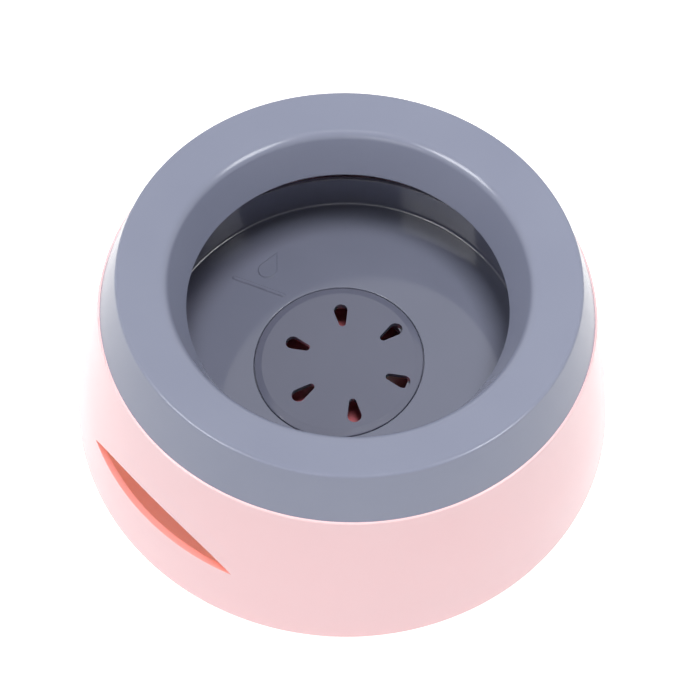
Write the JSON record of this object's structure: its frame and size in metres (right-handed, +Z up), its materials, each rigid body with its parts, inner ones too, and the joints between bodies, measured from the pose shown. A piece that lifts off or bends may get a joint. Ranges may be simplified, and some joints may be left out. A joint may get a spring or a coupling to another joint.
{
  "type": "no-spill dog water bowl",
  "caption": "Round no-spill pet water bowl: flared base with grip slots, lift-off splash lid with a throat, floating dish with a perforated flow cap.",
  "frame": {"origin": "on the surface the bowl stands on, at the axis of the cup and lid", "axes": "+Z up along the axis of the cup and lid; +X to the right and -Y towards the viewer of the picture"},
  "size_m": [0.2398, 0.2398, 0.0941],
  "materials": {
    "pink_shell": "glossy injection-moulded polypropylene, pale pink",
    "grey_shell": "glossy injection-moulded polypropylene, blue-grey",
    "grey_float": "polished injection-moulded polypropylene, blue-grey",
    "foot_rubber": "matt thermoplastic rubber"
  },
  "bodies": {
    "base": {"bowl_base": "pink_shell", "foot_pad_1": "foot_rubber", "foot_pad_2": "foot_rubber", "foot_pad_3": "foot_rubber", "foot_pad_4": "foot_rubber"},
    "lid": {"splash_lid": "grey_shell"},
    "float": {"float_dish": "grey_float", "float_underside": "grey_float"},
    "cap": {"flow_cap": "grey_float"}
  },
  "joints": [
    {"name": "lid_lift", "type": "slide", "parent": "base", "child": "lid", "axis": [0, 0, 1], "range_m": [0, 0.1]},
    {"name": "float_rise", "type": "slide", "parent": "base", "child": "float", "axis": [0, 0, 1], "range_m": [0, 0.031]},
    {"name": "cap_lift", "type": "slide", "parent": "float", "child": "cap", "axis": [-0.0871, -0.0588, 0.9945], "range_m": [0, 0.03]}
  ]
}
